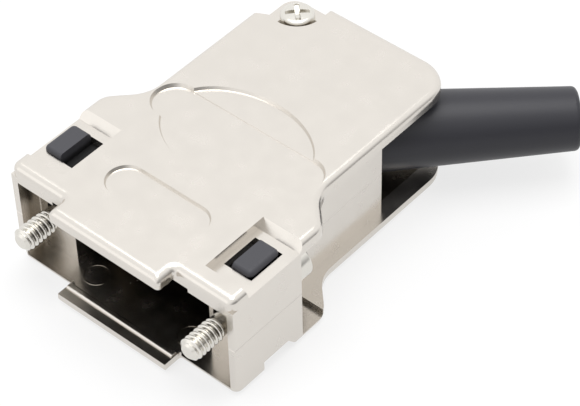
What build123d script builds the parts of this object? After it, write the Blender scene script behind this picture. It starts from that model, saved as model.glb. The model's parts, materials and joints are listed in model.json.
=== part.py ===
"""Die-cast connector hood with an angled cable exit: two half shells, jackscrews, slides, clamp and boot."""
import os
from math import sqrt

from build123d import *

# Overall size, in millimetres. The origin is midway between the jackscrews, on the front face, at mid-height
hood_height = 15.0
hood_depth = 42.5
ear_width = 32.7
ear_depth = 14.6
body_width = 25.4
flare_length = 3.7
nose_width = 16.3
nose_reach = 2.5
jackscrew_spacing = 25.0

# Plates, walls and roundings
plate_thickness = 1.6
panel_thickness = 1.0
wall_thickness = 1.2
wall_inset = 1.3
front_edge_round = 1.0
edge_round = 0.9
upper_nose_corner_round = 0.5
upper_nose_root_round = 0.4
lower_nose_corner_round = 0
lower_nose_root_round = 0.2
ear_corner_round = 2.5
flare_round = 4.5
rear_corner_round = 4.5
rear_left_round = 2.2
rear_corner_wall_round = 3.0
seam_bevel = 0.06

# Front pocket for the connector's flange, and the walls that the flange seats on
flange_width = 30.8
flange_clearance = 0.05
ear_lip_thickness = 1.1
ear_lip_height = 2.5
ear_lip_relief = 0.5
ear_lip_relief_margin = 1.85
seat_y = 2.8
seat_thickness = 1.4
seat_web = 0.55
ridge_front_y = -1.3
ridge_thickness = 0.9
ridge_rise = 0.3
ridge_round = 0.25
ridge_end_gap = 0.15
ejector_mark_inset = 3.0
ejector_mark_y = 2.75
ejector_mark_radius = 1.6
ejector_mark_width = 0.15
ejector_mark_rise = 0.05

# Ears behind the seat
ear_rear_y = 10.9
ear_rear_thickness = 1.2
ear_wall_thickness = 1.0
chamber_wall = 0.9
pad_inner_margin = 0.6
pad_front_y = 2.35
pad_front_slope = 0.2
pad_rear_margin = 0.15
pad_rear_slope = 0.85
pad_drop = 1.15
window_outer_margin = 0.4
window_front_margin = 0.35
window_rear_margin = 0.15
finger_front_y = 4.5
finger_flat_end_y = 8.5
finger_end_y = 10.2
finger_depth = 1.9
notch_floor_drop = 0.75

# Jackscrews: thread major radius of the number 4 unified screw
thread_radius = 1.42
thread_reach = 3.2
thread_rear_gap = 0.1
thread_tip_chamfer = 0.45
thread_hole_clearance = 0.33
shank_radius = 1.25
shaft_clearance = 0.06
head_radius = 2.25
head_length = 3.73
head_gap = 0.12
head_slot_width = 0.8
head_slot_depth = 1.1
head_edge_round = 0.3
head_recess_clearance = 0.35
head_recess_length = 5.6

# Black slides in the windows: a head over the pad, a neck in the window and a base under it
slide_travel = 1.1
slide_play = 0.1
slide_lift = 0.06
slide_head_width = 2.6
slide_head_rise = 0.7
slide_head_round = 0.55
slide_corner_round = 0.6
slide_neck_width = 1.6
slide_base_thickness = 0.9
slide_foot_drop = 1.7
slide_foot_margin = 0.8
slide_ledge_width = 0.6
slide_ledge_thickness = 1.0

# Cover screw in the rear left corner
cover_screw_side_inset = 3.7
cover_screw_rear_inset = 2.6
cover_head_radius = 2.08
cover_head_height = 1.15
cover_head_round = 0.55
cover_shank_radius = 1.0
cover_shank_length = 10.5
cover_hole_clearance = 0.2
cover_thread_clearance = 0.03
cover_hole_spare = 1.0
cover_notch_radius = 3.4
cover_notch_lead = 1.4
cover_notch_fall = 0.6
cover_seat_drop = 1.7
boss_side_inset = 0.7
boss_length = 6.1
boss_round = 1.9
boss_root_round = 0.6

# Shallow plates and recesses on the top
oval_y = 19.0
oval_half_length = 9.65
oval_half_width = 6.7
oval_depth = 0.35
band_half_length = 11.85
band_half_width = 2.65
band_depth = 0.45
small_recess_y = 6.2
small_recess_half_length = 6.85
small_recess_half_width = 2.25
small_recess_depth = 0.35
recess_slope = 0.5

# Cable exit at 45 degrees; distances along it start at a point near the plates' rear right corner
exit_side_inset = 1.8
exit_rear_inset = 2.5
exit_wall_rear_inset = 11.9
boot_reach = 17.2
boot_corner_radius = 4.5
boot_tip_radius = 3.75
boot_bore_radius = 2.7
boot_tip_round = 0.6
boot_flange_radius = 5.9
boot_flange_thickness = 1.6
boot_hole_clearance = 0.05
rib_thickness = 1.2
rib_hole_radius = 4.3

# Cable clamp inside
clamp_distance = -13.5
clamp_width = 4.0
clamp_channel_radius = 2.95
clamp_strap_thickness = 1.0
clamp_screw_spacing = 11.4
clamp_edge_margin = 1.7
clamp_screw_radius = 0.95
clamp_screw_length = 5.0
clamp_head_radius = 1.6
clamp_head_height = 1.1
clamp_head_round = 0.4
clamp_hole_clearance = 0.05
clamp_cradle_drop = 0.1

# Screw recesses
cross_width = 0.55
cross_depth = 0.7
clamp_cross_length = 2.1
cover_cross_length = 2.8

# Values that follow from those above
top_z = hood_height / 2
plate_z = top_z - plate_thickness
ceiling_z = top_z - panel_thickness
pad_z = top_z - pad_drop
roof_z = pad_z - panel_thickness
ear_x = ear_width / 2
body_x = body_width / 2
nose_x = nose_width / 2
flare_end = ear_depth + flare_length
wall_x = body_x - wall_inset
inner_x = wall_x - wall_thickness
wall_rear_y = hood_depth - wall_inset
pocket_x = flange_width / 2 + flange_clearance
jack_x = jackscrew_spacing / 2
seat_rear_y = seat_y + seat_thickness
seat_x = jack_x - thread_radius - thread_hole_clearance - seat_web
relief_x = nose_x + ear_lip_relief_margin
ridge_x = nose_x - ridge_end_gap
ejector_mark_x = seat_x - ejector_mark_inset
ear_rear_inside_y = ear_rear_y - ear_rear_thickness
chamber_inner_x = seat_x + chamber_wall
chamber_outer_x = ear_x - ear_wall_thickness
pad_inner_x = chamber_inner_x - pad_inner_margin
pad_rear_y = ear_rear_y - pad_rear_margin
window_outer_x = chamber_outer_x - window_outer_margin
window_front_y = seat_rear_y + window_front_margin
window_rear_y = ear_rear_inside_y - window_rear_margin
head_front_y = ear_rear_y + head_gap
head_rear_y = head_front_y + head_length
cover_screw_x = cover_screw_side_inset - body_x
cover_screw_y = hood_depth - cover_screw_rear_inset
cover_notch_inner_x = cover_screw_x + cover_notch_radius
cover_seat_z = top_z - cover_seat_drop
boss_left_x = boss_side_inset - body_x
boss_front_y = hood_depth - boss_length
exit_x = body_x - exit_side_inset
exit_y = hood_depth - exit_rear_inset
exit_sum = wall_x + hood_depth - exit_wall_rear_inset
diagonal = sqrt(0.5)
exit_wall_distance = (exit_sum - exit_x - exit_y) * diagonal
exit_wall_inner = exit_wall_distance - wall_thickness
boot_taper = (boot_corner_radius - boot_tip_radius) / boot_reach
boot_root_radius = boot_corner_radius - boot_taper * exit_wall_distance
clamp_half_span = clamp_screw_spacing / 2 + clamp_edge_margin
tiny = 0.01
beyond = 3.0


def rounded_face(corners, radii):
    return make_face(FilletPolyline(*corners, radius=radii, close=True).edges())


def block(x_range, y_range, z_range):
    size = [high - low for low, high in (x_range, y_range, z_range)]
    middle = [(high + low) / 2 for low, high in (x_range, y_range, z_range)]
    return Pos(*middle) * Box(*size)


def slab(face, low, high):
    return extrude(Pos(0, 0, low) * face, amount=high - low)


def rod(radius, start, end, x, z=0.0):
    return Pos(x, (start + end) / 2, z) * Rot(90, 0, 0) * Cylinder(radius, end - start)


def upright(radius, x, y, low, high):
    return Pos(x, y, (low + high) / 2) * Cylinder(radius, high - low)


def along_exit(shape):
    """Turn a shape made along X so that it lies along the cable exit, x = 0 at the exit's origin."""
    return Pos(exit_x, exit_y, 0) * Rot(0, 0, 45) * shape


def exit_rod(radius, start, end):
    return along_exit(Pos((start + end) / 2, 0, 0) * Rot(0, 90, 0) * Cylinder(radius, end - start))


def both_sides(shape):
    return shape + mirror(shape, about=Plane.YZ)


def cross_recess(length, x, y, top):
    arm = Box(length, cross_width, 2 * cross_depth) + Box(cross_width, length, 2 * cross_depth)
    return Pos(x, y, top) * arm


def plate_outline(nose_corner, nose_root):
    half = [
        (nose_x, -nose_reach, nose_corner),
        (nose_x, 0, nose_root),
        (ear_x, 0, 0),
        (ear_x, ear_depth, ear_corner_round),
        (body_x, flare_end, flare_round),
        (body_x, hood_depth, rear_corner_round),
    ]
    other = [(-x, y, radius) for x, y, radius in reversed(half[:-1])]
    corners = half + [(-body_x, hood_depth, rear_left_round)] + other
    return rounded_face([(x, y) for x, y, radius in corners], [radius for x, y, radius in corners])


def wall_outline(inward):
    """Outline of the wall between the plates, moved inward for its inner face."""
    side = wall_x - inward
    rear = wall_rear_y - inward
    front = ear_rear_inside_y if inward else ear_rear_y - tiny
    slant = exit_sum - inward / diagonal
    corners = [(side, front), (side, slant - side), (slant - rear, rear), (-side, rear), (-side, front)]
    rear_round = rear_corner_wall_round - inward
    return rounded_face(corners, [0, 0, 0, rear_round, 0])


def half_outside(nose_corner, nose_root):
    """One half shell before it is hollowed, for the upper half."""
    shell = slab(plate_outline(nose_corner, nose_root), plate_z, top_z)
    top_edges = shell.faces().sort_by(Axis.Z)[-1].edges()
    shell = fillet(top_edges.filter_by_position(Axis.Y, tiny, 2 * hood_depth), radius=edge_round)
    top_edges = shell.faces().sort_by(Axis.Z)[-1].edges()
    shell = fillet(top_edges.filter_by_position(Axis.Y, -2 * nose_reach, tiny), radius=front_edge_round)
    shell += block((-ear_x, ear_x), (0, ear_rear_y), (0, plate_z + tiny))
    shell += slab(wall_outline(0), 0, plate_z + tiny)
    return chamfer(shell.faces().sort_by(Axis.Z)[0].edges(), length=seam_bevel)


def ear_boss():
    """The thicker wall that the jackscrew's head is sunk in."""
    inside = jack_x - head_radius - head_recess_clearance - panel_thickness
    rear = ear_rear_y + head_recess_length + panel_thickness
    return block((inside, wall_x - tiny), (ear_rear_inside_y, rear), (0, ceiling_z + tiny))


def half_hollow():
    """What is taken out of either half: cavity, flange pocket, opening between the ears, jackscrew holes."""
    cavity = slab(wall_outline(wall_thickness), -tiny, ceiling_z)
    cavity -= both_sides(ear_boss())
    middle = block((-seat_x, seat_x), (seat_y, ear_rear_inside_y + tiny), (-tiny, ceiling_z))
    pocket = block((-pocket_x, pocket_x), (ear_lip_thickness, seat_y + tiny), (-tiny, ceiling_z))
    hollow = cavity + middle + pocket
    jack_holes = rod(thread_radius + thread_hole_clearance, seat_y - tiny, seat_rear_y + tiny, jack_x)
    jack_holes += rod(shank_radius + shaft_clearance, seat_y, ear_rear_y + tiny, jack_x)
    recess_end = ear_rear_y + head_recess_length
    jack_holes += rod(head_radius + head_recess_clearance, ear_rear_y, recess_end, jack_x)
    hollow += both_sides(jack_holes)
    return hollow


def ear_chamber(roof):
    """Hollow of the right ear between its seat and rear walls."""
    return block((chamber_inner_x, chamber_outer_x), (seat_rear_y, ear_rear_inside_y), (-tiny, roof))


def nose_ridge():
    """Low rounded rib across the nose plate that stops the connector's flange."""
    y_range = (ridge_front_y, ridge_front_y + ridge_thickness)
    ridge = block((-ridge_x, ridge_x), y_range, (plate_z - ridge_rise, plate_z + tiny))
    return fillet(ridge.edges().filter_by(Axis.X).sort_by(Axis.Z)[:2], radius=ridge_round)


def nose_relief():
    """Behind the ridge the nose plate is thinned to the pocket's ceiling."""
    y_range = (ridge_front_y + ridge_thickness, ear_lip_thickness + tiny)
    return block((-ridge_x, ridge_x), y_range, (0, ceiling_z))


def front_mouth(height):
    """Opening through the front face of either half."""
    return block((-pocket_x, pocket_x), (-tiny, ear_lip_thickness + tiny), (-tiny, height))


def exit_cuts():
    """Hole for the boot through the slanting wall."""
    hole = boot_root_radius + boot_hole_clearance
    return exit_rod(hole, exit_wall_inner - tiny, exit_wall_distance + tiny)


def flange_rib():
    """Rib that backs the boot's flange, upper half."""
    start = exit_wall_inner - boot_flange_thickness - rib_thickness
    rib = block((start, start + rib_thickness), (-2 * inner_x, 2 * inner_x), (0, ceiling_z + tiny))
    room = slab(wall_outline(wall_thickness - tiny), -tiny, ceiling_z + 2 * tiny)
    rib = along_exit(rib) & room
    return rib - exit_rod(rib_hole_radius, start - tiny, start + rib_thickness + tiny)


def corner_boss(low, high):
    """Column in the rear left corner that takes the cover screw."""
    corners = [
        (boss_left_x, boss_front_y),
        (cover_notch_inner_x, boss_front_y),
        (cover_notch_inner_x, hood_depth),
        (boss_left_x, hood_depth),
    ]
    return slab(rounded_face(corners, [boss_root_round, 0, boss_root_round, boss_round]), low, high)


def corner_notch():
    """Cut in the upper plate that leaves the cover screw's seat."""
    left = -body_x - beyond
    rear = hood_depth + beyond
    low, high = cover_seat_z, top_z + beyond
    corners = [
        (left, boss_front_y - cover_notch_fall),
        (boss_left_x, boss_front_y - cover_notch_fall / 3),
        (cover_screw_x - cover_notch_lead, boss_front_y + cover_notch_fall),
        (cover_screw_x, cover_screw_y),
        (cover_notch_inner_x, cover_screw_y),
        (cover_notch_inner_x, rear),
        (left, rear),
    ]
    notch = slab(rounded_face(corners, [0] * len(corners)), low, high)
    return notch + upright(cover_notch_radius, cover_screw_x, cover_screw_y, low, high)


def oval_outline(half_length, half_width):
    return Ellipse(half_length, half_width)


def slot_outline(half_length, half_width):
    return SlotOverall(2 * half_length, 2 * half_width)


def sloped_recess(outline, half_length, half_width, y, depth):
    """Shallow recess whose walls lean outward from its floor."""
    wider = beyond * recess_slope
    floor = Pos(0, y, top_z - depth) * outline(half_length, half_width)
    mouth = Pos(0, y, top_z - depth + beyond) * outline(half_length + wider, half_width + wider)
    return loft([floor, mouth], ruled=True)


def top_recesses():
    recesses = sloped_recess(oval_outline, oval_half_length, oval_half_width, oval_y, oval_depth)
    recesses += sloped_recess(slot_outline, band_half_length, band_half_width, oval_y, band_depth)
    small_size = (small_recess_half_length, small_recess_half_width)
    return recesses + sloped_recess(slot_outline, *small_size, small_recess_y, small_recess_depth)


def slide_ledges():
    """Two ledges under the right window that the slide's base runs on."""
    ledge_top = roof_z - slide_base_thickness - 2 * slide_play
    front = seat_rear_y - tiny
    rear = ear_rear_inside_y + tiny
    z_range = (ledge_top - slide_ledge_thickness, ledge_top)
    x_range = (chamber_inner_x - tiny, chamber_outer_x + tiny)
    ledges = block(x_range, (front, front + slide_ledge_width), z_range)
    return ledges + block(x_range, (rear - slide_ledge_width, rear), z_range)


def upper_shell():
    shell = half_outside(upper_nose_corner_round, upper_nose_root_round)
    shell += corner_boss(0, plate_z)
    shell -= half_hollow() - corner_boss(-tiny, top_z)
    shell -= both_sides(ear_chamber(roof_z))
    lip_z = top_z - ear_lip_height
    relief = block((-relief_x, relief_x), (-tiny, ear_lip_thickness + tiny), (-tiny, lip_z + ear_lip_relief))
    shell -= front_mouth(lip_z) + relief + nose_relief()
    shell += nose_ridge()
    shell += flange_rib()
    shell -= exit_cuts()
    pad = Polyline(
        (pad_front_y, top_z + beyond),
        (pad_front_y, top_z),
        (pad_front_y + pad_front_slope, pad_z),
        (pad_rear_y, pad_z),
        (pad_rear_y + pad_rear_slope, top_z),
        (pad_rear_y + pad_rear_slope, top_z + beyond),
        close=True,
    )
    pad = extrude(Plane.YZ.offset(pad_inner_x) * make_face(pad.edges()), amount=ear_x)
    window = block((chamber_inner_x, window_outer_x), (window_front_y, window_rear_y), (0, top_z))
    shell -= both_sides(pad + window)
    shell += both_sides(slide_ledges())
    shell -= corner_notch()
    shell -= top_recesses()
    shell -= upright(cover_shank_radius + cover_hole_clearance, cover_screw_x, cover_screw_y, -tiny, top_z)
    return shell


def lower_shell():
    """Made as an upper half, then turned over."""
    shell = half_outside(lower_nose_corner_round, lower_nose_root_round)
    shell += corner_boss(0, plate_z + tiny)
    shell -= half_hollow() - corner_boss(-tiny, top_z)
    shell -= both_sides(ear_chamber(top_z - finger_depth - panel_thickness))
    shell -= front_mouth(ceiling_z) + nose_relief()
    shell += nose_ridge()
    shell += flange_rib()
    shell -= exit_cuts()
    finger = Polyline(
        (finger_front_y, top_z + beyond),
        (finger_front_y, top_z - finger_depth),
        (finger_flat_end_y, top_z - finger_depth),
        (finger_end_y, top_z),
        (finger_end_y, top_z + beyond),
        close=True,
    )
    finger_face = Plane.YZ.offset(chamber_inner_x) * make_face(finger.edges())
    shell -= both_sides(extrude(finger_face, amount=ear_x))
    notch_floor = plate_z + notch_floor_drop
    notch = block((wall_x, ear_x + beyond), (ear_rear_y, ear_depth), (0, notch_floor))
    shell -= both_sides(notch)
    place = (ejector_mark_x, ejector_mark_y, ceiling_z - ejector_mark_rise)
    ring = upright(ejector_mark_radius, *place, ceiling_z + tiny)
    ring -= upright(ejector_mark_radius - ejector_mark_width, *place, top_z)
    shell += both_sides(ring)
    shell = mirror(shell, about=Plane.XY)
    shell += clamp_cradle()
    hole_low = cover_seat_z - cover_shank_length - cover_hole_spare
    hole = upright(cover_shank_radius + cover_thread_clearance, cover_screw_x, cover_screw_y, hole_low, tiny)
    return shell - hole


def clamp_cradle():
    """Block on the lower half's floor that the cable lies in."""
    cradle = block(
        (clamp_distance - clamp_width / 2, clamp_distance + clamp_width / 2),
        (-clamp_half_span, clamp_half_span),
        (-ceiling_z - tiny, -clamp_cradle_drop),
    )
    cradle = along_exit(cradle)
    cradle -= exit_rod(clamp_channel_radius, clamp_distance - clamp_width, clamp_distance + clamp_width)
    for side in (-1, 1):
        hole = Pos(clamp_distance, side * clamp_screw_spacing / 2, -clamp_screw_length / 2)
        cradle -= along_exit(hole * Cylinder(clamp_screw_radius + clamp_hole_clearance, clamp_screw_length))
    return cradle


def clamp_strap():
    """Arched strap over the cable with a flat foot on each side."""
    outer = clamp_channel_radius + clamp_strap_thickness
    half_width = clamp_width / 2
    x_range = (clamp_distance - half_width, clamp_distance + half_width)
    low = -clamp_cradle_drop
    foot = block(x_range, (-clamp_half_span, clamp_half_span), (low, low + clamp_strap_thickness))
    strap = along_exit(foot)
    arch = exit_rod(outer, x_range[0], x_range[1])
    arch &= along_exit(block(x_range, (-outer, outer), (low, outer)))
    strap += arch
    strap -= exit_rod(clamp_channel_radius, x_range[0] - tiny, x_range[1] + tiny)
    hole = Cylinder(clamp_screw_radius + clamp_hole_clearance, 3 * clamp_strap_thickness)
    for side in (-1, 1):
        strap -= along_exit(Pos(clamp_distance, side * clamp_screw_spacing / 2, 0) * hole)
    return strap


def clamp_screw(side):
    seat = clamp_strap_thickness - clamp_cradle_drop
    x = clamp_distance
    y = side * clamp_screw_spacing / 2
    screw = upright(clamp_head_radius, x, y, seat, seat + clamp_head_height)
    top_edge = screw.edges().filter_by(GeomType.CIRCLE).sort_by(Axis.Z)[-1]
    screw = fillet(top_edge, radius=clamp_head_round)
    screw += upright(clamp_screw_radius, x, y, seat - clamp_screw_length, seat + tiny)
    screw -= cross_recess(clamp_cross_length, x, y, seat + clamp_head_height)
    return along_exit(screw)


def jackscrew():
    """Right jackscrew: slotted head behind the ear, plain shank, thread out of the front."""
    head = rod(head_radius, head_front_y, head_rear_y, jack_x)
    head = fillet(head.edges().filter_by(GeomType.CIRCLE), radius=head_edge_round)
    slot_x = (jack_x - head_slot_width / 2, jack_x + head_slot_width / 2)
    slot_y = (head_rear_y - head_slot_depth, head_rear_y + beyond)
    head -= block(slot_x, slot_y, (-2 * head_radius, 2 * head_radius))
    thread_rear_y = seat_y - thread_rear_gap
    thread = rod(thread_radius, -thread_reach, thread_rear_y, jack_x)
    thread = chamfer(thread.edges().filter_by(GeomType.CIRCLE).sort_by(Axis.Y)[0], length=thread_tip_chamfer)
    return head + thread + rod(shank_radius, thread_rear_y - tiny, head_front_y + head_edge_round, jack_x)


def latch_slide():
    """Right slide, drawn out: head over the pad, neck in the window, base and foot under the window."""
    outer = window_outer_x - slide_play
    inner = outer - slide_neck_width
    y_range = (window_front_y + slide_play, window_rear_y - slide_play)
    base_high = roof_z - slide_play
    base_low = base_high - slide_base_thickness
    head = block((inner, inner + slide_head_width), y_range, (pad_z + slide_lift, pad_z + slide_head_rise))
    head = fillet(head.edges().filter_by(Axis.Z).sort_by(Axis.X)[-2:], radius=slide_corner_round)
    neck = block((inner, outer), y_range, (base_high - tiny, pad_z + slide_lift + tiny))
    base_x = (chamber_inner_x + slide_play + slide_travel, chamber_outer_x - slide_play)
    base_y = (seat_rear_y + slide_play, ear_rear_inside_y - slide_play)
    base = block(base_x, base_y, (base_low, base_high))
    foot_y = (base_y[0] + slide_foot_margin, base_y[1] - slide_foot_margin)
    foot = block((inner, outer), foot_y, (base_low - slide_foot_drop, base_low + tiny))
    slide = head + neck + base + foot
    top_edges = slide.faces().sort_by(Axis.Z)[-1].edges().sort_by(Axis.X)[1:]
    return fillet(top_edges, radius=slide_head_round)


def cover_screw():
    head_top = cover_seat_z + cover_head_height
    screw = upright(cover_head_radius, cover_screw_x, cover_screw_y, cover_seat_z, head_top)
    top_edge = screw.edges().filter_by(GeomType.CIRCLE).sort_by(Axis.Z)[-1]
    screw = fillet(top_edge, radius=cover_head_round)
    shank_low = cover_seat_z - cover_shank_length
    screw += upright(cover_shank_radius, cover_screw_x, cover_screw_y, shank_low, cover_seat_z + tiny)
    screw -= cross_recess(cover_cross_length, cover_screw_x, cover_screw_y, head_top)
    return screw


def cable_boot():
    """Tapering rubber sleeve with the flange that the shells hold."""
    start = exit_wall_inner - boot_flange_thickness
    root = boot_corner_radius - boot_taper * exit_wall_inner
    profile = Polyline(
        (start, boot_bore_radius),
        (start, boot_flange_radius),
        (exit_wall_inner, boot_flange_radius),
        (exit_wall_inner, root),
        (boot_reach, boot_tip_radius),
        (boot_reach, boot_bore_radius),
        close=True,
    )
    sleeve = revolve(make_face(profile.edges()), axis=Axis.X)
    tip_edges = sleeve.edges().filter_by(GeomType.CIRCLE).sort_by(Axis.X)[-2:]
    sleeve = fillet(tip_edges.sort_by(SortBy.RADIUS)[-1], radius=boot_tip_round)
    return along_exit(sleeve)


parts = {
    "upper_shell": upper_shell(),
    "lower_shell": lower_shell(),
    "right_jackscrew": jackscrew(),
    "left_jackscrew": mirror(jackscrew(), about=Plane.YZ),
    "right_latch_slide": Pos(-slide_travel, 0, 0) * latch_slide(),
    "left_latch_slide": mirror(latch_slide(), about=Plane.YZ),
    "cover_screw": cover_screw(),
    "cable_boot": cable_boot(),
    "clamp_strap": clamp_strap(),
    "left_clamp_screw": clamp_screw(1),
    "right_clamp_screw": clamp_screw(-1),
}

os.makedirs("parts", exist_ok=True)
for node, shape in parts.items():
    print(node, round(shape.volume, 2), len(shape.solids()))
    export_step(shape, f"parts/{node}.step")
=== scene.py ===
import json
import math

import bmesh
import bpy
import numpy as np
from mathutils import Matrix, Vector


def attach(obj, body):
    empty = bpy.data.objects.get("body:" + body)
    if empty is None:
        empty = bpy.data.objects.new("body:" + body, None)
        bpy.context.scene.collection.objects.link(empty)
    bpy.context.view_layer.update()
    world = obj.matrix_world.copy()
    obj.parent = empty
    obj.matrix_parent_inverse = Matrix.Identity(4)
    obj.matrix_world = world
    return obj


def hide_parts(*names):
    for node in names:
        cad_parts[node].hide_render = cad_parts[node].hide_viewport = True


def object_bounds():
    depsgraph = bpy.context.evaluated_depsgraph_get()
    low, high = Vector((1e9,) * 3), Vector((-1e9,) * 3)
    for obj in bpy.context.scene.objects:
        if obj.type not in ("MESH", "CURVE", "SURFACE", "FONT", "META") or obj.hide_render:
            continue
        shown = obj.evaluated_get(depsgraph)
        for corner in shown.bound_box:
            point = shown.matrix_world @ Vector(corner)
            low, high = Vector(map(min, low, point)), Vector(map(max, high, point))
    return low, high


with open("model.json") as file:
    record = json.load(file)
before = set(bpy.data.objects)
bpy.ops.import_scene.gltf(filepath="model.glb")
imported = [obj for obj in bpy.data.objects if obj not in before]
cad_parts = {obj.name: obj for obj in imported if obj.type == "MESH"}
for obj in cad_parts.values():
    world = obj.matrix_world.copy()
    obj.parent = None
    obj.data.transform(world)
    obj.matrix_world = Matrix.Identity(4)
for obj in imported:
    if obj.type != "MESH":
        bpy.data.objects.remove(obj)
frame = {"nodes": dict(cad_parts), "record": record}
cadLow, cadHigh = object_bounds()   # the CAD box, before anything is added
nodes = frame["nodes"]
mm = 0.001
print("stage 1: frame loaded,", len(nodes), "nodes")


def linearColour(hexText):
    # sRGB hex text to linear: each channel c becomes c/12.92, or ((c+0.055)/1.055)^2.4 above 0.04045
    channels = [int(hexText[i:i + 2], 16) / 255 for i in (0, 2, 4)]
    return tuple(c / 12.92 if c <= 0.04045 else ((c + 0.055) / 1.055) ** 2.4 for c in channels) + (1.0,)


def addNode(tree, kind, settings=None, links=None):
    # one shader node: settings are attributes or input sockets, links join its inputs to other nodes' outputs
    node = tree.nodes.new(kind)
    for name, value in (settings or {}).items():
        if isinstance(name, int) or name in node.inputs:
            node.inputs[name].default_value = value
        else:
            setattr(node, name, value)
    for name, source in (links or {}).items():
        tree.links.new(source, node.inputs[name])
    return node


def newMaterial(name):
    material = bpy.data.materials.new(name)
    material.use_nodes = True
    material.node_tree.nodes.clear()
    return material, material.node_tree


def objectPoint(tree):
    return addNode(tree, "ShaderNodeTexCoord").outputs["Object"]


def finishMaterial(tree, shader):
    addNode(tree, "ShaderNodeOutputMaterial", links={"Surface": shader.outputs[0]})


nickelValues = {
    "colour": "D8D3CC",        # warm silver of satin nickel
    "paintedShadeColour": "8C8478",  # painted shade: a darker colour standing in for the shade in deep places
    # regions darkened with painted shade, the cavity and the sides of the flange pocket:
    # y where it starts, y where it is full, y where it ends, half width, half height
    "paintedShadeRegionsMm": [(3.0, 6.0, 41.0, 10.4, 6.6), (0.3, 1.2, 2.75, 15.5, 6.4)],
    "roughness": 0.24,
    "castWaveMm": 2.2,        # slow waviness left by the casting, seen through the plating
    "castWaveStrength": 0.05,
    "grainMm": 0.16,          # fine orange peel of the plated casting
    "grainStrength": 0.04,
}


def within(tree, value, half, soft):
    # 1 where the size of the value is under half, falling to 0 over soft, both in mm
    size = addNode(tree, "ShaderNodeMath", {"operation": "ABSOLUTE"}, {0: value})
    fade = addNode(tree, "ShaderNodeMapRange", {"From Min": half * mm, "From Max": (half + soft) * mm,
                                                "To Min": 1.0, "To Max": 0.0}, {"Value": size.outputs[0]})
    return fade.outputs[0]


def times(tree, first, second):
    return addNode(tree, "ShaderNodeMath", {"operation": "MULTIPLY"}, {0: first, 1: second}).outputs[0]


def paintedShadeRegion(tree, point, start, full, end, halfWidth, halfHeight):
    # 1 inside a box round the middle of the hood, rising along y from start to full; it masks where painted shade goes
    split = addNode(tree, "ShaderNodeSeparateXYZ", links={"Vector": point})
    rise = addNode(tree, "ShaderNodeMapRange", {"From Min": start * mm, "From Max": full * mm},
                   {"Value": split.outputs[1]})
    fall = addNode(tree, "ShaderNodeMapRange", {"From Min": (end - 0.05) * mm, "From Max": end * mm,
                                                "To Min": 1.0, "To Max": 0.0}, {"Value": split.outputs[1]})
    along = times(tree, rise.outputs[0], fall.outputs[0])
    sideways = within(tree, split.outputs[0], halfWidth, 0.1)
    upward = within(tree, split.outputs[2], halfHeight, 0.1)
    return times(tree, along, times(tree, sideways, upward))


def nickelPlate():
    # zinc alloy, pressure die-cast, tumbled and plated with satin nickel: soft broad reflections
    material, tree = newMaterial("satin nickel on die-cast zinc")
    values = nickelValues
    point = objectPoint(tree)
    # painted shade: the cavity and the sides of the flange pocket take the darker colour to stand in for their deep
    # shade
    cavity, ears = (paintedShadeRegion(tree, point, *region) for region in values["paintedShadeRegionsMm"])
    inside = addNode(tree, "ShaderNodeMath", {"operation": "MAXIMUM"}, {0: cavity, 1: ears})
    colour = addNode(tree, "ShaderNodeMix", {"data_type": "RGBA"}, {0: inside.outputs[0]})
    colour.inputs[6].default_value = linearColour(values["colour"])
    colour.inputs[7].default_value = linearColour(values["paintedShadeColour"])
    wave = addNode(tree, "ShaderNodeTexNoise", {"Scale": 1 / (values["castWaveMm"] * mm), "Detail": 2.0},
                   {"Vector": point})
    grain = addNode(tree, "ShaderNodeTexNoise", {"Scale": 1 / (values["grainMm"] * mm), "Detail": 3.0},
                    {"Vector": point})
    waveBump = addNode(tree, "ShaderNodeBump", {"Strength": values["castWaveStrength"], "Distance": 0.2 * mm},
                       {"Height": wave.outputs[0]})
    grainBump = addNode(tree, "ShaderNodeBump", {"Strength": values["grainStrength"], "Distance": 0.02 * mm},
                        {"Height": grain.outputs[0], "Normal": waveBump.outputs[0]})
    rough = addNode(tree, "ShaderNodeMapRange",
                    {"From Min": 0.3, "From Max": 0.7, "To Min": values["roughness"] - 0.03,
                     "To Max": values["roughness"] + 0.04},
                    {"Value": wave.outputs[0]})
    shader = addNode(tree, "ShaderNodeBsdfPrincipled", {"Metallic": 1.0},
                     {"Base Color": colour.outputs[2], "Roughness": rough.outputs[0], "Normal": grainBump.outputs[0]})
    finishMaterial(tree, shader)
    return material


def platedSteel():
    # rolled and plated steel screws: brighter than the casting, with sharper glints
    material, tree = newMaterial("bright plated steel screws")
    point = objectPoint(tree)
    turning = addNode(tree, "ShaderNodeTexNoise", {"Scale": 1 / (0.25 * mm), "Detail": 2.0}, {"Vector": point})
    bump = addNode(tree, "ShaderNodeBump", {"Strength": 0.06, "Distance": 0.02 * mm},
                   {"Height": turning.outputs[0]})
    shader = addNode(tree, "ShaderNodeBsdfPrincipled",
                     {"Base Color": linearColour("DAD7D0"), "Metallic": 1.0, "Roughness": 0.22},
                     {"Normal": bump.outputs[0]})
    finishMaterial(tree, shader)
    return material


def clampSteel():
    # pressed steel strip, dull zinc plate
    material, tree = newMaterial("zinc-plated steel strip")
    point = objectPoint(tree)
    mottle = addNode(tree, "ShaderNodeTexNoise", {"Scale": 1 / (0.8 * mm), "Detail": 3.0}, {"Vector": point})
    rough = addNode(tree, "ShaderNodeMapRange", {"To Min": 0.3, "To Max": 0.42}, {"Value": mottle.outputs[0]})
    shader = addNode(tree, "ShaderNodeBsdfPrincipled",
                     {"Base Color": linearColour("C2C2C4"), "Metallic": 1.0},
                     {"Roughness": rough.outputs[0]})
    finishMaterial(tree, shader)
    return material


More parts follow.
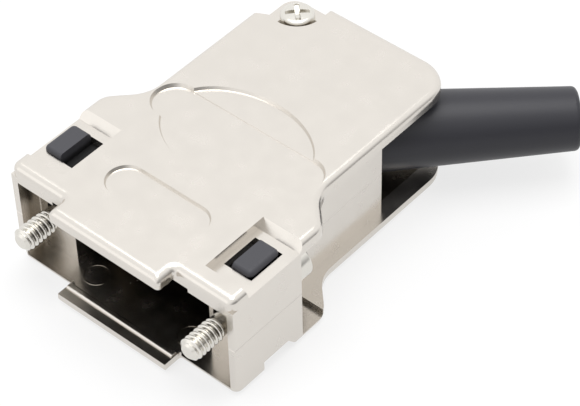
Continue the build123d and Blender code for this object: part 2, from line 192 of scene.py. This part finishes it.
def blackPlastic():
    # glass-filled nylon, moulded: the head has the plastic's dark grey, the base under the window is near black as
    # painted shade
    material, tree = newMaterial("moulded black nylon")
    point = objectPoint(tree)
    height = addNode(tree, "ShaderNodeSeparateXYZ", links={"Vector": point}).outputs[2]
    # painted shade: below the head the colour fades to near black, standing in for the shade inside the window
    clearOfPaintedShade = addNode(tree, "ShaderNodeMapRange", {"From Min": 5.6 * mm, "From Max": 6.3 * mm}, {"Value": height})
    colour = addNode(tree, "ShaderNodeMix", {"data_type": "RGBA"}, {0: clearOfPaintedShade.outputs[0]})
    colour.inputs[6].default_value = linearColour("0C0C0D")
    colour.inputs[7].default_value = linearColour("3B3B40")
    grain = addNode(tree, "ShaderNodeTexNoise", {"Scale": 1 / (0.12 * mm), "Detail": 2.0}, {"Vector": point})
    bump = addNode(tree, "ShaderNodeBump", {"Strength": 0.15, "Distance": 0.02 * mm},
                   {"Height": grain.outputs[0]})
    shader = addNode(tree, "ShaderNodeBsdfPrincipled",
                     {"Metallic": 0.0, "Roughness": 0.5, "IOR": 1.45},
                     {"Base Color": colour.outputs[2], "Normal": bump.outputs[0]})
    finishMaterial(tree, shader)
    return material


def blackRubber():
    # moulded rubber boot, smooth matt skin: dark grey where light grazes it
    material, tree = newMaterial("moulded black rubber")
    point = objectPoint(tree)
    grain = addNode(tree, "ShaderNodeTexNoise", {"Scale": 1 / (0.2 * mm), "Detail": 3.0}, {"Vector": point})
    bump = addNode(tree, "ShaderNodeBump", {"Strength": 0.1, "Distance": 0.02 * mm},
                   {"Height": grain.outputs[0]})
    rough = addNode(tree, "ShaderNodeMapRange", {"To Min": 0.4, "To Max": 0.46}, {"Value": grain.outputs[0]})
    shader = addNode(tree, "ShaderNodeBsdfPrincipled",
                     {"Base Color": linearColour("29292F"), "Metallic": 0.0, "IOR": 1.45},
                     {"Normal": bump.outputs[0], "Roughness": rough.outputs[0]})
    finishMaterial(tree, shader)
    return material


finishes = {
    "nickel_plate": nickelPlate(),
    "screw_steel": platedSteel(),
    "clamp_steel": clampSteel(),
    "black_plastic": blackPlastic(),
    "black_rubber": blackRubber(),
}
slotOf = {piece["node"]: piece["material_slot"] for piece in frame["record"]["subparts"]}


def dress(obj, slotName):
    obj.data.materials.clear()
    obj.data.materials.append(finishes[slotName])


for name, obj in nodes.items():
    dress(obj, slotOf[name])
print("stage 2: finishes on the CAD nodes")


def nodeBox(name):
    # lowest and highest corner of a CAD node, in mm
    obj = nodes[name]
    count = len(obj.data.vertices)
    points = np.empty(count * 3)
    obj.data.vertices.foreach_get("co", points)
    points = points.reshape(count, 3) / mm
    return points.min(axis=0), points.max(axis=0)


def addSheet(name, points, replaced):
    # points is rows x columns x 3 in mm; the columns close round into a tube and doubled points are welded
    rows, columns = points.shape[:2]
    row, column = np.meshgrid(np.arange(rows - 1), np.arange(columns), indexing="ij")
    after = (column + 1) % columns
    faces = np.stack([row * columns + column, row * columns + after, (row + 1) * columns + after,
                      (row + 1) * columns + column], axis=-1).reshape(-1, 4)
    mesh = bpy.data.meshes.new(name)
    mesh.from_pydata((points.reshape(-1, 3) * mm).tolist(), [], faces.tolist())
    edit = bmesh.new()
    edit.from_mesh(mesh)
    bmesh.ops.remove_doubles(edit, verts=edit.verts, dist=1e-7)
    bmesh.ops.dissolve_degenerate(edit, edges=edit.edges, dist=1e-8)
    bmesh.ops.recalc_face_normals(edit, faces=edit.faces)
    edit.to_mesh(mesh)
    edit.free()
    mesh.shade_smooth()
    mesh.set_sharp_from_angle(angle=math.radians(32))
    obj = bpy.data.objects.new(name, mesh)
    bpy.context.scene.collection.objects.link(obj)
    dress(obj, slotOf[replaced])
    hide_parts(replaced)
    body = next(body for body, members in frame["record"]["behaviour"]["bodies"].items() if replaced in members)
    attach(obj, body)
    return obj


# number 4 unified thread, 40 turns to the inch, its crests blunted by rolling and plating
jackscrewValues = {
    "pitch": 0.635, "rootRadius": 1.06, "threadRadius": 1.42,
    "threadLength": 4.6, "tipChamfer": 0.5, "tipRadius": 0.85,
    "shankRadius": 1.25, "headLength": 3.73, "rimRound": 0.3,
    "slotWidth": 0.8, "slotDepth": 1.1,
}


def addJackscrew(node):
    # radius along the thread: root + (major - root) * wave, with wave = (0.5 + 0.5 cos(phase))^0.8 and
    # phase = 2 pi y / pitch - angle, so the crest climbs one pitch each turn; no higher than the lead-in cone.
    # The head's end keeps x and shrinks z towards the middle, so the slot's walls stay straight.
    values = jackscrewValues
    low, high = nodeBox(node)
    axisX, tipY, rearY, headRadius = (low[0] + high[0]) / 2, low[1], high[1], (high[2] - low[2]) / 2
    slotAngle = math.asin(values["slotWidth"] / 2 / headRadius)
    edges = [turn + side * (slotAngle + step) for turn in (0, math.pi) for side in (-1, 1) for step in (-2e-4, 2e-4)]
    angle = np.sort(np.unique(np.round(np.concatenate([np.linspace(0, 2 * np.pi, 97)[:-1],
                                                       np.mod(edges, 2 * np.pi)]), 7)))
    across, upward = np.sin(angle), np.cos(angle)

    threadEnd = tipY + values["threadLength"]
    headFront = rearY - values["headLength"]
    y = np.linspace(tipY, threadEnd, 150)[:, None]
    wave = (0.5 + 0.5 * np.cos(2 * np.pi * y / values["pitch"] - angle[None, :])) ** 0.8
    radius = values["rootRadius"] + (values["threadRadius"] - values["rootRadius"]) * wave
    leadIn = values["tipRadius"] + (y - tipY) * (values["threadRadius"] - values["tipRadius"]) / values["tipChamfer"]
    radius = np.minimum(radius, leadIn)
    runOut = np.clip((threadEnd - y) / (0.6 * values["pitch"]), 0, 1)
    radius = values["shankRadius"] + (radius - values["shankRadius"]) * runOut

    def ring(r, where):
        return np.broadcast_to(r, angle.shape), np.broadcast_to(where, angle.shape)

    rings = [ring(0.0, tipY), ring(values["tipRadius"] * 0.6, tipY)]
    rings += [(radius[i], np.broadcast_to(y[i], angle.shape)) for i in range(len(y))]
    rings += [ring(values["shankRadius"], threadEnd + 0.01), ring(values["shankRadius"], headFront)]
    corner = values["rimRound"]
    bend = np.linspace(0, np.pi / 2, 6)
    rings += [ring(headRadius - corner + corner * math.sin(b), headFront + corner - corner * math.cos(b)) for b in bend]
    inSlot = np.abs(headRadius * across) < values["slotWidth"] / 2
    slotFloor = rearY - values["slotDepth"]
    for b in bend[::-1]:
        rim = rearY - corner + corner * math.cos(b)
        rings.append(ring(headRadius - corner + corner * math.sin(b), np.where(inSlot, slotFloor, rim)))
    points = np.array([np.stack([axisX + r * across, where, r * upward], axis=-1) for r, where in rings])
    flat = np.linspace(1, 0, 7)[1:]
    rim = points[-1]
    inner = np.array([np.stack([rim[:, 0], rim[:, 1], rim[:, 2] * f], axis=-1) for f in flat])
    addSheet(node + "_turned", np.concatenate([points, inner]), node)


for node in ("right_jackscrew", "left_jackscrew"):
    addJackscrew(node)
print("stage 3: threaded jackscrews")


panHeadValues = {
    "cover_screw": {"shankRadius": 1.0, "headHeight": 1.15, "rimRound": 0.55, "dome": 0.12,
                    "wingLength": 1.45, "wingHalfWidth": 0.3, "recessDepth": 0.75, "turnDegrees": 45},
    "left_clamp_screw": {"shankRadius": 0.95, "headHeight": 1.1, "rimRound": 0.4, "dome": 0.1,
                         "wingLength": 1.1, "wingHalfWidth": 0.26, "recessDepth": 0.7, "turnDegrees": 30},
    "right_clamp_screw": {"shankRadius": 0.95, "headHeight": 1.1, "rimRound": 0.4, "dome": 0.1,
                          "wingLength": 1.1, "wingHalfWidth": 0.26, "recessDepth": 0.7, "turnDegrees": 66},
}


def addPanHead(node):
    # the top is a height over the disc: dome * (1 - (r/R)^2), less the recess, which is the deeper of two crossed
    # wings; a wing falls off with its length along the arm and within 0.07 mm of its side
    values = panHeadValues[node]
    low, high = nodeBox(node)
    axisX, axisY = (low[0] + high[0]) / 2, (low[1] + high[1]) / 2
    headRadius = (high[0] - low[0]) / 2
    seatZ = high[2] - values["headHeight"]
    angle = np.linspace(0, 2 * np.pi, 193)[:-1]
    corner = values["rimRound"]
    topZ = high[2] - values["dome"]

    def ring(r, z):
        return np.full(angle.shape, r), np.broadcast_to(z, angle.shape)

    rings = [ring(0.0, low[2]), ring(values["shankRadius"] * 0.7, low[2]), ring(values["shankRadius"], low[2] + 0.3),
             ring(values["shankRadius"], seatZ), ring(headRadius - 0.08, seatZ), ring(headRadius, seatZ + 0.08)]
    for b in np.linspace(0, np.pi / 2, 9):
        rings.append(ring(headRadius - corner + corner * math.cos(b), topZ - corner + corner * math.sin(b)))
    flatRadius = headRadius - corner
    turned = angle - math.radians(values["turnDegrees"])
    for r in np.linspace(flatRadius, 0, 64)[1:]:
        along, side = r * np.cos(turned), r * np.sin(turned)
        deep = np.zeros(angle.shape)
        for arm, off in ((along, side), (side, along)):
            slope = np.clip(1.25 - np.abs(arm) / values["wingLength"], 0, 1)
            wall = np.clip((values["wingHalfWidth"] - np.abs(off)) / 0.07, 0, 1)
            end = np.clip((values["wingLength"] - np.abs(arm)) / 0.07, 0, 1)
            deep = np.maximum(deep, values["recessDepth"] * slope * wall * end)
        rings.append(ring(r, topZ + values["dome"] * (1 - (r / flatRadius) ** 2) - deep))
    points = np.array([np.stack([axisX + r * np.cos(angle), axisY + r * np.sin(angle), z], axis=-1)
                       for r, z in rings])
    addSheet(node + "_recessed", points, node)


for node in panHeadValues:
    addPanHead(node)
print("stage 4: pan-head screws")


cameraValues = {
    "azimuth": 41.8313, "elevation": 45.4359, "roll": -1.558,     # degrees
    "distanceMm": 253.393,
    "focalPixels": 2262.657, "imageWidth": 580,
    "targetMm": (6.4183, 20.4659, 0.0),
}


def addCamera():
    # the camera sits at target + distance along its back vector, turned by a small roll
    values = cameraValues
    azimuth, elevation, roll = (math.radians(values[key]) for key in ("azimuth", "elevation", "roll"))
    back = Vector((math.sin(azimuth) * math.cos(elevation), -math.cos(azimuth) * math.cos(elevation),
                   math.sin(elevation)))
    right = Vector((0, 0, 1)).cross(back).normalized()
    up = back.cross(right)
    rolledRight = right * math.cos(roll) + up * math.sin(roll)
    rolledUp = up * math.cos(roll) - right * math.sin(roll)
    camera = bpy.data.objects.new("camera", bpy.data.cameras.new("camera"))
    bpy.context.scene.collection.objects.link(camera)
    place = Vector(values["targetMm"]) * mm + back * values["distanceMm"] * mm
    turn = Matrix((rolledRight, rolledUp, back)).transposed().to_4x4()
    camera.matrix_world = Matrix.Translation(place) @ turn
    camera.data.sensor_width = 36
    camera.data.lens = 36 * values["focalPixels"] / values["imageWidth"]
    camera.data.clip_start = 0.01
    camera.data.clip_end = 10
    bpy.context.scene.camera = camera


addCamera()


studioValues = {
    "floorColour": "858585", "floorMm": 3000,
    "floorGlow": 0.7,        # the lit table under the paper, seen by the camera and in reflections only
    "skyBright": 1.14, "skyDark": 0.3,         # world strength towards the window side and away from it
    "skyTowards": (-0.89, 0.1, 0.445), "skySpread": (-0.8, -0.15),
    "lamps": [
        # name, place in mm, side in mm, watts
        ("overheadSoftbox", (-40, 60, 700), 500, 2.6),
        ("frontSoftbox", (-470, -860, 270), 600, 0.3),
    ],
    "aimMm": (4, 20, 0),
}


def directRays(tree):
    # 1 for what the camera, a glossy or a see-through surface looks at, 0 for the light that falls on the object
    rays = addNode(tree, "ShaderNodeLightPath").outputs
    seen = addNode(tree, "ShaderNodeMath", {"operation": "MAXIMUM"},
                   {0: rays["Is Camera Ray"], 1: rays["Is Glossy Ray"]})
    every = addNode(tree, "ShaderNodeMath", {"operation": "MAXIMUM"},
                    {0: seen.outputs[0], 1: rays["Is Transmission Ray"]})
    return every.outputs[0]


def addFloor():
    values = studioValues
    half = values["floorMm"] * mm / 2
    level = cadLow.z
    mesh = bpy.data.meshes.new("floor")
    mesh.from_pydata([(-half, -half, level), (half, -half, level), (half, half, level), (-half, half, level)],
                     [], [(0, 1, 2, 3)])
    floor = bpy.data.objects.new("floor", mesh)
    bpy.context.scene.collection.objects.link(floor)
    material, tree = newMaterial("white sweep paper")
    paper = addNode(tree, "ShaderNodeBsdfDiffuse", {"Color": linearColour(values["floorColour"])})
    strength = addNode(tree, "ShaderNodeMath", {"operation": "MULTIPLY", 1: values["floorGlow"]},
                       {0: directRays(tree)})
    glow = addNode(tree, "ShaderNodeEmission", {"Color": linearColour("FFFFFF")}, {"Strength": strength.outputs[0]})
    both = addNode(tree, "ShaderNodeAddShader", links={0: paper.outputs[0], 1: glow.outputs[0]})
    finishMaterial(tree, both)
    mesh.materials.append(material)


def addLamp(name, placeMm, sizeMm, watts):
    lamp = bpy.data.objects.new(name, bpy.data.lights.new(name, "AREA"))
    lamp.data.shape = "SQUARE"
    lamp.data.size = sizeMm * mm
    lamp.data.energy = watts
    bpy.context.scene.collection.objects.link(lamp)
    lamp.location = Vector(placeMm) * mm
    aim = Vector(studioValues["aimMm"]) * mm - lamp.location
    lamp.rotation_euler = aim.to_track_quat("-Z", "Y").to_euler()


def addWorld():
    world = bpy.data.worlds.new("pale studio")
    bpy.context.scene.world = world
    world.use_nodes = True
    tree = world.node_tree
    tree.nodes.clear()
    # brightness follows how far a direction leans to the window side, smoothly from dark to bright
    direction = addNode(tree, "ShaderNodeTexCoord").outputs["Generated"]
    lean = addNode(tree, "ShaderNodeVectorMath", {"operation": "DOT_PRODUCT", 1: studioValues["skyTowards"]},
                   {0: direction})
    start, end = studioValues["skySpread"]
    level = addNode(tree, "ShaderNodeMapRange",
                    {"interpolation_type": "SMOOTHSTEP", "From Min": start, "From Max": end,
                     "To Min": studioValues["skyDark"], "To Max": studioValues["skyBright"]},
                    {"Value": lean.outputs["Value"]})
    sky = addNode(tree, "ShaderNodeBackground", {"Color": linearColour("FFFFFF")}, {"Strength": level.outputs[0]})
    addNode(tree, "ShaderNodeOutputWorld", links={"Surface": sky.outputs[0]})


addFloor()
for lamp in studioValues["lamps"]:
    addLamp(*lamp)
addWorld()
bpy.context.scene.view_settings.view_transform = "Standard"
print("stage 5: camera, floor and light")
